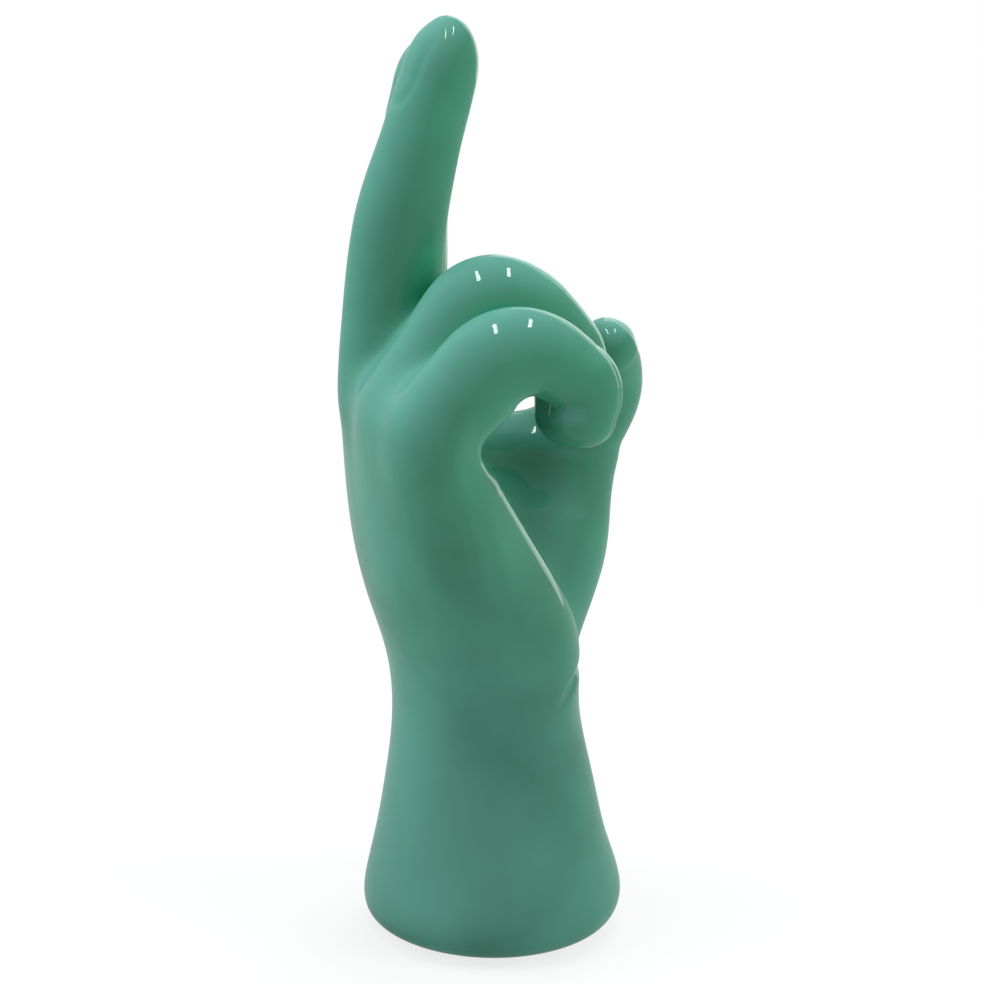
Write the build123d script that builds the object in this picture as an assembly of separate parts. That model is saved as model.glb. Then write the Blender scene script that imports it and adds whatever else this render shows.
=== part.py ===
from build123d import *
import os
from math import acos, copysign, cos, radians, sin

# A glazed ceramic right hand making a V sign, standing on its flared wrist. Millimetres.
# Origin: centre of the felt's lower face. +Z up, +X the way the palm faces, +Y the thumb side.

# Walls and fits
WALL = 5.0
FINGER_GAP = 0.6
LUTING_PAST_BEND = 3.0
ROOT_BORE = 4.0
SECTION_STEP = 3.0

# Foot closure: slab let into a rebate in the foot, felt glued under both
FELT_THICKNESS = 1.5
FELT_INSET = 2.0
FOOT_RING = 5.0
SLAB_THICKNESS = 5.0
SLAB_CLEARANCE = 0.2
SLAB_SEAT = 3.0
SLAB_VENT = 6.0

# Body sections from the foot to the crest between the knuckles: height or rise over the last one,
# shifts along X and Y, depth (X), width (Y) and squareness, which is 2 for an ellipse
FOOT_DEPTH = 72.0
FOOT_WIDTH = 76.4
FOOT_EDGE = 7.0
FOOT_BULGE_HEIGHT = 11.0
FLARE_HEIGHT = 31.0
FLARE_DEPTH = 61.6
FLARE_WIDTH = 67.8
WRIST_HEIGHT = 62.0
WRIST_SHIFT = -1.9
WRIST_DEPTH = 50.8
WRIST_WIDTH = 57.6
HEEL_HEIGHT = 88.0
HEEL_SHIFT = -6.2
HEEL_SIDE_SHIFT = -0.4
HEEL_DEPTH = 50.8
HEEL_WIDTH = 71.0
HEEL_SQUARENESS = 2.4
PALM_HEIGHT = 113.0
PALM_SHIFT = -18.3
PALM_SIDE_SHIFT = -2.0
PALM_DEPTH = 37.6
PALM_WIDTH = 80.6
PALM_SQUARENESS = 2.75
KNUCKLE_HEIGHT = 137.0
KNUCKLE_SHIFT = -24.4
KNUCKLE_SIDE_SHIFT = -2.9
KNUCKLE_DEPTH = 27.4
KNUCKLE_WIDTH = 80.4
KNUCKLE_SQUARENESS = 3.1
BROW_RISE = 8.5
BROW_SHIFT = -26.0
BROW_SIDE_SHIFT = -3.0
BROW_DEPTH = 23.0
BROW_WIDTH = 75.0
CREST_RISE = 4.5
CREST_DRAW_IN = 5.5
OVAL_POINTS = 24

# Fleshy pads of the palm, as spheroids between two points
LITTLE_PAD_START = (7.0, -15.0, 54.0)
LITTLE_PAD_END = (-14.0, -30.0, 134.0)
LITTLE_PAD_DIAMETER = 31.0
THUMB_PAD_START = (9.0, 15.0, 57.0)
THUMB_PAD_END = (30.3, 27.6, 135.0)
THUMB_PAD_DIAMETER = 34.0

# Web of the thumb, an upright oval swept from inside the palm to inside the thumb
WEB_PALM_END = (-22.0, 24.0, 121.0)
WEB_MIDDLE = (6.0, 24.5, 117.0)
WEB_THUMB_END = (25.0, 25.0, 112.0)
WEB_HEIGHT = 44.0
WEB_THICKNESS = 23.0

# Each finger: start inside the palm, straight runs, bends between them, oval depth and width, tip.
# A pitch is an angle from straight up towards the palm, a splay from straight up towards the thumb.
MIDDLE_START_X = -19.4
MIDDLE_START_Z = 118.7
MIDDLE_PITCH_ANGLES = (-15.0, 4.5, 13.0)
MIDDLE_SPLAY_ANGLE = -6.0
MIDDLE_ROOT_RUN = 22.7
MIDDLE_INNER_RUN = 30.8
MIDDLE_OUTER_RUN = 30.7
MIDDLE_KNUCKLE_BEND = 60.0
MIDDLE_OUTER_BEND = 120.0
MIDDLE_DEPTH = 27.8
MIDDLE_WIDTH = 22.0
MIDDLE_TIP = 18.8
MIDDLE_TIP_LENGTH = 10.5

INDEX_START_X = -11.3
INDEX_START_Z = 117.2
INDEX_PITCH_ANGLES = (-13.0, 4.5, 11.5)
INDEX_SPLAY_ANGLE = 10.0
INDEX_ROOT_RUN = 22.8
INDEX_INNER_RUN = 30.5
INDEX_OUTER_RUN = 28.2
INDEX_KNUCKLE_BEND = 60.0
INDEX_OUTER_BEND = 120.0
INDEX_DEPTH = 24.6
INDEX_WIDTH = 20.8
INDEX_TIP = 17.8
INDEX_TIP_LENGTH = 10.0

RING_START_X = -16.5
RING_START_Z = 116.0
RING_Y = -15.5
RING_PITCH_ANGLES = (-18.5, 38.9, 136.5, 193.8)
RING_ROOT_RUN = 25.2
RING_INNER_RUN = 13.3
RING_MIDDLE_RUN = 6.6
RING_OUTER_RUN = 9.7
RING_KNUCKLE_BEND = 22.0
RING_CURL_BEND = 14.0
RING_OUTER_BEND = 11.5
RING_DEPTH = 24.0
RING_WIDTH = 20.4
RING_TIP = 18.4
RING_TIP_LENGTH = 8.5

LITTLE_START_X = -15.0
LITTLE_START_Z = 110.0
LITTLE_PITCH_ANGLES = (-18.0, 50.1, 121.5, 192.8)
LITTLE_ROOT_RUN = 28.6
LITTLE_INNER_RUN = 7.2
LITTLE_MIDDLE_RUN = 2.7
LITTLE_OUTER_RUN = 1.5
LITTLE_KNUCKLE_BEND = 20.0
LITTLE_CURL_BEND = 15.0
LITTLE_OUTER_BEND = 13.0
LITTLE_DEPTH = 22.4
LITTLE_WIDTH = 20.4
LITTLE_TIP = 17.0
LITTLE_TIP_LENGTH = 7.0

# Thumb: as the fingers, with a heading from +X towards +Y beside each pitch
THUMB_START = (16.3, 18.0, 78.5)
THUMB_AIM_ANGLES = ((17.2, 31.3), (22.5, -44.0), (49.8, -98.0))
THUMB_ROOT_RUN = 33.2
THUMB_INNER_RUN = 7.5
THUMB_OUTER_RUN = 7.6
THUMB_KNUCKLE_BEND = 60.0
THUMB_OUTER_BEND = 25.0
THUMB_DEPTH = 25.6
THUMB_WIDTH = 26.4
THUMB_TIP = 19.0
THUMB_TIP_LENGTH = 9.5
THUMB_FLAT = (0.7, -0.7, 0.0)

# Fingers lie side by side, one gap apart, counted from the ring finger
LITTLE_Y = RING_Y - RING_WIDTH / 2 - LITTLE_WIDTH / 2 - FINGER_GAP
MIDDLE_Y = RING_Y + RING_WIDTH / 2 + MIDDLE_WIDTH / 2 + FINGER_GAP
INDEX_Y = MIDDLE_Y + MIDDLE_WIDTH / 2 + INDEX_WIDTH / 2 + FINGER_GAP

FOOT_BOTTOM = FELT_THICKNESS
FLAT_DEPTH = FOOT_DEPTH - 2 * FOOT_EDGE
FLAT_WIDTH = FOOT_WIDTH - 2 * FOOT_EDGE
REBATE_DEPTH = FLAT_DEPTH - 2 * FOOT_RING
REBATE_WIDTH = FLAT_WIDTH - 2 * FOOT_RING
SLAB_TOP = FOOT_BOTTOM + SLAB_THICKNESS


def aim(pitch, heading=0.0):
    """Unit vector by its pitch from straight up and its heading from +X."""
    tilt, turn = radians(pitch), radians(heading)
    return Vector(sin(tilt) * cos(turn), sin(tilt) * sin(turn), cos(tilt))


def finger_aims(pitches, splay):
    """Directions of a finger's runs: the first lies in the palm, the others splay sideways."""
    outer = [aim(pitch).rotate(Axis.X, -splay) for pitch in pitches[1:]]
    return [aim(pitches[0]), *outer]


def blend(share, start, end):
    return start + (end - start) * share


def oval(plane, major, minor):
    """An oval face whose longer axis lies along the plane's X."""
    return plane * Ellipse(major / 2, minor / 2)


def level_plane(height, shift=0.0, side_shift=0.0):
    """A level plane with its X across the hand."""
    return Plane((shift, side_shift, height), x_dir=(0, 1, 0), z_dir=(0, 0, 1))


def level_section(height, depth, width, shift=0.0, side_shift=0.0, squareness=2.0):
    """A level section of the body, an oval whose corners fill out with its squareness."""
    points = []
    for i in range(OVAL_POINTS):
        c, s = cos(radians(360 * i / OVAL_POINTS)), sin(radians(360 * i / OVAL_POINTS))
        across = copysign(abs(c) ** (2 / squareness), c) * width / 2
        through = copysign(abs(s) ** (2 / squareness), s) * depth / 2
        points.append((across, through))
    return level_plane(height, shift, side_shift) * make_face(Spline(*points, periodic=True))


def oval_disc(bottom, thickness, depth, width):
    return extrude(oval(level_plane(bottom), width, depth), thickness)


def spheroid(start, end, diameter):
    """A body of revolution with a half ellipse as its profile, from one point to another."""
    along = Vector(*end) - Vector(*start)
    half = along.length / 2
    side = Plane(Vector(*start) + along / 2, x_dir=along, z_dir=along.cross(Vector(0, 0, 1)))
    arc = EllipticalCenterArc((0, 0), half, diameter / 2, start_angle=0, arc_size=180)
    profile = make_face(Curve() + [arc, Line((-half, 0), (half, 0))])
    return revolve(side * profile, Axis(side.origin, along), 360)


class BoneLine:
    """Straight runs joined by tangent arcs. at(distance) gives the place and the direction there."""

    def __init__(self, start, aims, runs, bends):
        self.stretches = []
        place = Vector(*start)
        for i, run in enumerate(runs):
            self.stretches.append((run, place, aims[i], None, None))
            place = place + aims[i] * run
            if i < len(bends):
                turn = acos(aims[i].dot(aims[i + 1]))
                inward = (aims[i + 1] - aims[i] * cos(turn)).normalized()
                self.stretches.append((bends[i] * turn, place, aims[i], inward, bends[i]))
                place = place + inward * bends[i] * (1 - cos(turn)) + aims[i] * bends[i] * sin(turn)
        self.length = sum(stretch[0] for stretch in self.stretches)
        self.first_bend_end = self.stretches[0][0] + self.stretches[1][0]

    def at(self, distance):
        *earlier, stretch = self.stretches
        for candidate in earlier:
            if distance <= candidate[0]:
                stretch = candidate
                break
            distance -= candidate[0]
        _, place, ahead, inward, radius = stretch
        if inward is None:
            return place + ahead * distance, ahead
        angle = distance / radius
        moved = inward * radius * (1 - cos(angle)) + ahead * radius * sin(angle)
        return place + moved, ahead * cos(angle) + inward * sin(angle)


class Digit:
    """A tapering digit round a bone line: its root belongs to the body, the rest is a casting."""

    def __init__(self, line, side, longer_along_side, base, tip, tip_length):
        self.line = line
        self.luting = line.first_bend_end + LUTING_PAST_BEND
        self.side, self.longer_along_side = side, longer_along_side
        self.root = ROOT_BORE + 2 * WALL
        self.base, self.tip, self.tip_length = base, tip, tip_length

    def plane(self, distance):
        """The plane across the line, with X along the section's longer axis."""
        place, ahead = self.line.at(distance)
        across = self.side - ahead * self.side.dot(ahead)
        if not self.longer_along_side:
            across = across.cross(ahead)
        return Plane(place, x_dir=across, z_dir=ahead)

    def size(self, distance):
        """Longer and shorter axis, from root to base at the luting plane, then on to the tip."""
        if distance <= self.luting:
            share = sin(radians(90) * distance / self.luting)
            return [blend(share, self.root, b) for b in self.base]
        share = (distance - self.luting) / (self.line.length - self.luting)
        return [blend(share, a, self.tip) for a in self.base]

    def loft(self, start, end, inset=0.0):
        count = max(3, round((end - start) / SECTION_STEP))
        sections = []
        for i in range(count + 1):
            distance = blend(i / count, start, end)
            major, minor = self.size(distance)
            sections.append(oval(self.plane(distance), major - 2 * inset, minor - 2 * inset))
        return loft(sections)

    def dome(self):
        """The rounded tip, half a spheroid on the last section."""
        end = self.plane(self.line.length)
        side = Plane(end.origin, x_dir=end.x_dir, z_dir=end.x_dir.cross(end.z_dir))
        radius = self.tip / 2
        outline = [
            Line((0, 0), (radius, 0)),
            EllipticalCenterArc((0, 0), radius, self.tip_length, start_angle=0, arc_size=90),
            Line((0, self.tip_length), (0, 0)),
        ]
        return revolve(side * make_face(Curve() + outline), Axis(end.origin, end.z_dir), 360)

    def root_solid(self):
        return self.loft(0, self.luting)

    def root_bore(self):
        return self.loft(0, self.luting, WALL)

    def casting(self):
        """The digit past the luting plane, hollow as far as its last section."""
        outside = self.loft(self.luting, self.line.length) + self.dome()
        return outside - self.loft(self.luting, self.line.length, WALL)


def finger(start, pitches, splay, runs, bends, size, tip, tip_length):
    """A finger, deeper than wide, that flexes in a plane splayed about X."""
    line = BoneLine(start, finger_aims(pitches, splay), runs, bends)
    return Digit(line, Vector(0, 1, 0).rotate(Axis.X, -splay), False, size, tip, tip_length)


def index_digit():
    return finger(
        (INDEX_START_X, INDEX_Y, INDEX_START_Z), INDEX_PITCH_ANGLES, INDEX_SPLAY_ANGLE,
        (INDEX_ROOT_RUN, INDEX_INNER_RUN, INDEX_OUTER_RUN), (INDEX_KNUCKLE_BEND, INDEX_OUTER_BEND),
        (INDEX_DEPTH, INDEX_WIDTH), INDEX_TIP, INDEX_TIP_LENGTH)


def middle_digit():
    return finger(
        (MIDDLE_START_X, MIDDLE_Y, MIDDLE_START_Z), MIDDLE_PITCH_ANGLES, MIDDLE_SPLAY_ANGLE,
        (MIDDLE_ROOT_RUN, MIDDLE_INNER_RUN, MIDDLE_OUTER_RUN), (MIDDLE_KNUCKLE_BEND, MIDDLE_OUTER_BEND),
        (MIDDLE_DEPTH, MIDDLE_WIDTH), MIDDLE_TIP, MIDDLE_TIP_LENGTH)


def ring_digit():
    return finger(
        (RING_START_X, RING_Y, RING_START_Z), RING_PITCH_ANGLES, 0.0,
        (RING_ROOT_RUN, RING_INNER_RUN, RING_MIDDLE_RUN, RING_OUTER_RUN),
        (RING_KNUCKLE_BEND, RING_CURL_BEND, RING_OUTER_BEND),
        (RING_DEPTH, RING_WIDTH), RING_TIP, RING_TIP_LENGTH)


def little_digit():
    return finger(
        (LITTLE_START_X, LITTLE_Y, LITTLE_START_Z), LITTLE_PITCH_ANGLES, 0.0,
        (LITTLE_ROOT_RUN, LITTLE_INNER_RUN, LITTLE_MIDDLE_RUN, LITTLE_OUTER_RUN),
        (LITTLE_KNUCKLE_BEND, LITTLE_CURL_BEND, LITTLE_OUTER_BEND),
        (LITTLE_DEPTH, LITTLE_WIDTH), LITTLE_TIP, LITTLE_TIP_LENGTH)


def thumb_digit():
    """The thumb, wider than deep, in opposition to the palm."""
    line = BoneLine(
        THUMB_START, [aim(*angles) for angles in THUMB_AIM_ANGLES],
        (THUMB_ROOT_RUN, THUMB_INNER_RUN, THUMB_OUTER_RUN), (THUMB_KNUCKLE_BEND, THUMB_OUTER_BEND))
    return Digit(
        line, Vector(*THUMB_FLAT), True, (THUMB_WIDTH, THUMB_DEPTH), THUMB_TIP, THUMB_TIP_LENGTH)


def body_sections(inset):
    """Level sections above the foot's bulge, drawn in by the inset."""
    stations = [
        (FLARE_HEIGHT, FLARE_DEPTH, FLARE_WIDTH),
        (WRIST_HEIGHT, WRIST_DEPTH, WRIST_WIDTH, WRIST_SHIFT),
        (HEEL_HEIGHT, HEEL_DEPTH, HEEL_WIDTH, HEEL_SHIFT, HEEL_SIDE_SHIFT, HEEL_SQUARENESS),
        (PALM_HEIGHT, PALM_DEPTH, PALM_WIDTH, PALM_SHIFT, PALM_SIDE_SHIFT, PALM_SQUARENESS),
        (KNUCKLE_HEIGHT, KNUCKLE_DEPTH, KNUCKLE_WIDTH, KNUCKLE_SHIFT, KNUCKLE_SIDE_SHIFT, KNUCKLE_SQUARENESS),
    ]
    sections = []
    for height, depth, width, *rest in stations:
        sections.append(level_section(height, depth - 2 * inset, width - 2 * inset, *rest))
    return sections


def body_outside():
    """Foot, wrist and palm, with a rounded lower edge and a crest that draws in."""
    foot = level_section(FOOT_BOTTOM, FOOT_DEPTH, FOOT_WIDTH)
    bulge = level_section(FOOT_BULGE_HEIGHT, FOOT_DEPTH, FOOT_WIDTH)
    top = []
    for rise, draw_in in ((0.0, 0.0), (CREST_RISE, 2 * CREST_DRAW_IN)):
        top.append(level_section(
            KNUCKLE_HEIGHT + BROW_RISE + rise, BROW_DEPTH - draw_in, BROW_WIDTH - draw_in,
            BROW_SHIFT, BROW_SIDE_SHIFT, KNUCKLE_SQUARENESS))
    shell = loft([foot, bulge, *body_sections(0.0), *top])
    return fillet(shell.edges().sort_by(Axis.Z)[0], FOOT_EDGE)


def body_cavity():
    """The hollow of the casting, narrowed at the foot to seat the slab."""
    mouth = level_section(SLAB_TOP, REBATE_DEPTH - 2 * SLAB_SEAT, REBATE_WIDTH - 2 * SLAB_SEAT)
    draw_in = 2 * WALL + FOOT_EDGE
    bulge = level_section(FOOT_BULGE_HEIGHT + WALL, FOOT_DEPTH - draw_in, FOOT_WIDTH - draw_in)
    return loft([mouth, bulge, *body_sections(WALL)])


def thumb_web():
    sections = []
    for place in (WEB_PALM_END, WEB_MIDDLE, WEB_THUMB_END):
        upright = Plane(place, x_dir=(0, 0, 1), z_dir=(1, 0, 0))
        sections.append(oval(upright, WEB_HEIGHT, WEB_THICKNESS))
    return loft(sections)


def hand_body(digits):
    body = body_outside()
    body += spheroid(LITTLE_PAD_START, LITTLE_PAD_END, LITTLE_PAD_DIAMETER)
    body += spheroid(THUMB_PAD_START, THUMB_PAD_END, THUMB_PAD_DIAMETER)
    body += thumb_web()
    hollow = body_cavity()
    hollow += oval_disc(FOOT_BOTTOM, SLAB_THICKNESS, REBATE_DEPTH, REBATE_WIDTH)
    for digit in digits:
        body += digit.root_solid()
        hollow += digit.root_bore()
    return body - hollow


def base_slab():
    slab = oval_disc(
        FOOT_BOTTOM, SLAB_THICKNESS, REBATE_DEPTH - 2 * SLAB_CLEARANCE, REBATE_WIDTH - 2 * SLAB_CLEARANCE)
    return slab - Pos(0, 0, SLAB_TOP) * Cylinder(SLAB_VENT / 2, 4 * SLAB_THICKNESS)


def felt_pad():
    return oval_disc(0.0, FELT_THICKNESS, FLAT_DEPTH - 2 * FELT_INSET, FLAT_WIDTH - 2 * FELT_INSET)


DIGITS = {
    "index_finger": index_digit(),
    "middle_finger": middle_digit(),
    "ring_finger": ring_digit(),
    "little_finger": little_digit(),
    "thumb": thumb_digit(),
}

NODES = {name: digit.casting() for name, digit in DIGITS.items()}
NODES["hand_body"] = hand_body(DIGITS.values())
NODES["base_slab"] = base_slab()
NODES["felt_pad"] = felt_pad()

os.makedirs("parts", exist_ok=True)
for name, solid in NODES.items():
    export_step(solid, f"parts/{name}.step")
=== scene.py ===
import math

import bpy
import numpy as np
from mathutils import Matrix, Vector


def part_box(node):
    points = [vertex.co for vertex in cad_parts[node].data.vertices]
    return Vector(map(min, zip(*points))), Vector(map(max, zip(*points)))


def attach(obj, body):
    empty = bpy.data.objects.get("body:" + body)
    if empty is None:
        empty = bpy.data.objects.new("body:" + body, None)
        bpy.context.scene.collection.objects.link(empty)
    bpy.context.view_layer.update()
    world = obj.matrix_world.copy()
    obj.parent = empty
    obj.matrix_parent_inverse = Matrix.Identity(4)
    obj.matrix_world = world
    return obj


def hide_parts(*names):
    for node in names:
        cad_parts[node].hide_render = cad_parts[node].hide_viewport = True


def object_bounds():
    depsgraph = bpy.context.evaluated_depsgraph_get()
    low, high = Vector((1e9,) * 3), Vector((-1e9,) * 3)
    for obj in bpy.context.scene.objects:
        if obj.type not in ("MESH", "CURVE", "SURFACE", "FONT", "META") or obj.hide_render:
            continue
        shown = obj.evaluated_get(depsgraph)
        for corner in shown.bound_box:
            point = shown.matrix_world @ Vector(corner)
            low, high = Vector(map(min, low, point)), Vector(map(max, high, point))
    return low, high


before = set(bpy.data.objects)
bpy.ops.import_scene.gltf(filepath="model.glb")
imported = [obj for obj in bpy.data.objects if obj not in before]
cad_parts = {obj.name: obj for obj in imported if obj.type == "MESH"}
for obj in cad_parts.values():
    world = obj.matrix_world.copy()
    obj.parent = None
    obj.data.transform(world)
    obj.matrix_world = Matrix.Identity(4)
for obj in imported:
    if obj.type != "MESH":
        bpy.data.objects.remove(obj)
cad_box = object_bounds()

# A glazed ceramic right hand making a V sign. One skin is worked out as a distance field in millimetres,
# meshed, and cut along the luting joints into a hollow piece for each casting.
# +Z up, +X the way the palm faces, +Y the thumb side.

MM = 0.001
WHITE = (1, 1, 1, 1)

# Side of a mesh cell, the castings' wall, and how far past its first bend a digit is luted on
CELL = 0.85
WALL = 3.0
LUTING_PAST_BEND = 3.0

# Field value outside a limb's box, and how far that box goes round its line: a margin, and a share
# of its fillet
FAR = 60.0
LIMB_MARGIN = 18.0
LIMB_MARGIN_SHARE = 1.2

# How far a limb's root is rounded off, and how far in front of its line the back's fillet gives way
# to the palm side's
ROOT_CAP = 12.0
ROOT_FILLET_FADE = (2.0, 9.0)

# Nails: depth of the groove round them, its width as a share of the nail, how square they are,
# how far they go over the tip, and how far behind the finger's line the groove ends at the sides
NAIL_DEPTH = 0.22
NAIL_GROOVE_SHARE = 0.16
NAIL_SQUARENESS = 2.6
NAIL_TIP_SHARE = 0.8
NAIL_SIDE_FADE = (-3.0, -1.0)

# Body stations: height, shifts along X and Y, half depth at the back and front, half width, squareness.
# The back has only a share of the squareness, and takes over from the palm side within the blend.
FOOT_BOTTOM = 1.5
FOOT_ROUND = 13.0
BODY_TOP = 145.0
BODY_DOME = 15.0
BACK_SQUARENESS = 0.35
BACK_BLEND = 6.0
BODY = [
    (FOOT_BOTTOM, -0.9, 0.0, 35.0, 35.8, 38.0, 2.0),
    (9.0, -0.4, 0.0, 34.8, 36.4, 38.0, 2.0),
    (25.0, 0.2, 0.0, 32.2, 31.7, 35.2, 2.0),
    (42.0, -0.4, 0.0, 28.7, 28.2, 31.2, 2.05),
    (60.0, -1.4, 0.0, 25.8, 25.2, 28.6, 2.1),
    (78.0, -2.8, 0.0, 25.8, 24.0, 32.2, 2.3),
    (95.0, -6.4, -0.8, 27.4, 21.6, 37.4, 2.5),
    (110.0, -11.2, -1.8, 25.9, 13.5, 39.8, 2.7),
    (125.0, -16.4, -2.6, 22.4, 10.0, 40.8, 2.9),
    (142.0, -21.6, -3.0, 17.7, 9.0, 40.0, 3.2),
    (156.0, -26.0, -3.0, 13.2, 8.0, 38.0, 3.2),
]

# The way a surface faces that gets the most painted light, from above at the left
PAINTED_LIGHT_AIM = np.array([-0.45, -0.15, 0.88])

# The hollow of the palm, darkened with deeper glaze and painted shade, and how far above a place other skin
# is looked for to shelter it, which brings painted shade in the palm and painted bounce light between the
# fingers
PALM_HOLLOW = np.array([13.0, 9.0, 127.0])
PALM_HOLLOW_RADIUS = 15.0
SHELTER_REACH = 8.0

# Mouth of the foot, where the base slab sits in its rebate, and the height of skin that it cuts away
MOUTH_HALF_X = 24.0
MOUTH_HALF_Y = 26.2
MOUTH_RISE = 2.0

# A cut along a joint keeps this share of an edge away from the mesh's own vertices
CUT_MARGIN = 0.02


def vec(*xyz):
    return np.array(xyz, float)


def unit(v):
    return v / np.linalg.norm(v, axis=-1, keepdims=True)


def aim(pitch, heading=0.0):
    """Unit vector by its pitch from straight up and its heading from +X."""
    tilt, turn = math.radians(pitch), math.radians(heading)
    return vec(math.sin(tilt) * math.cos(turn), math.sin(tilt) * math.sin(turn), math.cos(tilt))


def splay_sideways(direction, angle):
    """Turns a direction about X, towards the thumb for a positive angle."""
    turn = math.radians(angle)
    x, y, z = direction
    return vec(x, y * math.cos(turn) + z * math.sin(turn), z * math.cos(turn) - y * math.sin(turn))


def spline(rows):
    """A natural cubic through rows of (place, value, value ...), as a function of the place."""
    table = np.array(rows, float)
    x, y = table[:, 0], table[:, 1:]
    gap = np.diff(x)
    matrix = np.eye(len(x))
    right = np.zeros_like(y)
    for i in range(1, len(x) - 1):
        matrix[i, i - 1:i + 2] = gap[i - 1], 2 * (gap[i - 1] + gap[i]), gap[i]
        right[i] = 6 * ((y[i + 1] - y[i]) / gap[i] - (y[i] - y[i - 1]) / gap[i - 1])
    bend = np.linalg.solve(matrix, right)

    def at(place):
        place = np.clip(place, x[0], x[-1])
        i = np.clip(np.searchsorted(x, place) - 1, 0, len(x) - 2)
        h = gap[i][:, None]
        before = (place - x[i])[:, None]
        after = h - before
        cubic = (bend[i] * after ** 3 + bend[i + 1] * before ** 3) / (6 * h)
        straight = (y[i] / h - bend[i] * h / 6) * after + (y[i + 1] / h - bend[i + 1] * h / 6) * before
        return (cubic + straight).T

    return at


def fade(x, start, end):
    """1 before start, 0 after end, smooth between."""
    t = np.clip((x - start) / (end - start), 0, 1)
    return 1 - t * t * (3 - 2 * t)


def join(a, b, reach):
    """Union of two fields with a fillet where they are within reach of each other."""
    near = np.maximum(reach - np.abs(a - b), 0) / reach
    return np.minimum(a, b) - near ** 3 * reach / 6


def carve(a, b, reach):
    """The part of the first field that is above the second, with a rounded edge."""
    return -join(-a, b, reach)


def oval_field(*offsets_and_halves, power=2.0):
    """Signed distance to an oval given as (offset, half axis) pairs, close to true near its surface.
    A power above 2 squares it."""
    shares = [(np.abs(offset) / half, half) for offset, half in offsets_and_halves]
    near = np.maximum(sum(share ** power for share, _ in shares), 1e-9) ** (1 / power)
    slant = np.sqrt(sum(((share / near) ** (power - 1) / half) ** 2 for share, half in shares))
    return (near - 1) / slant


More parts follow.
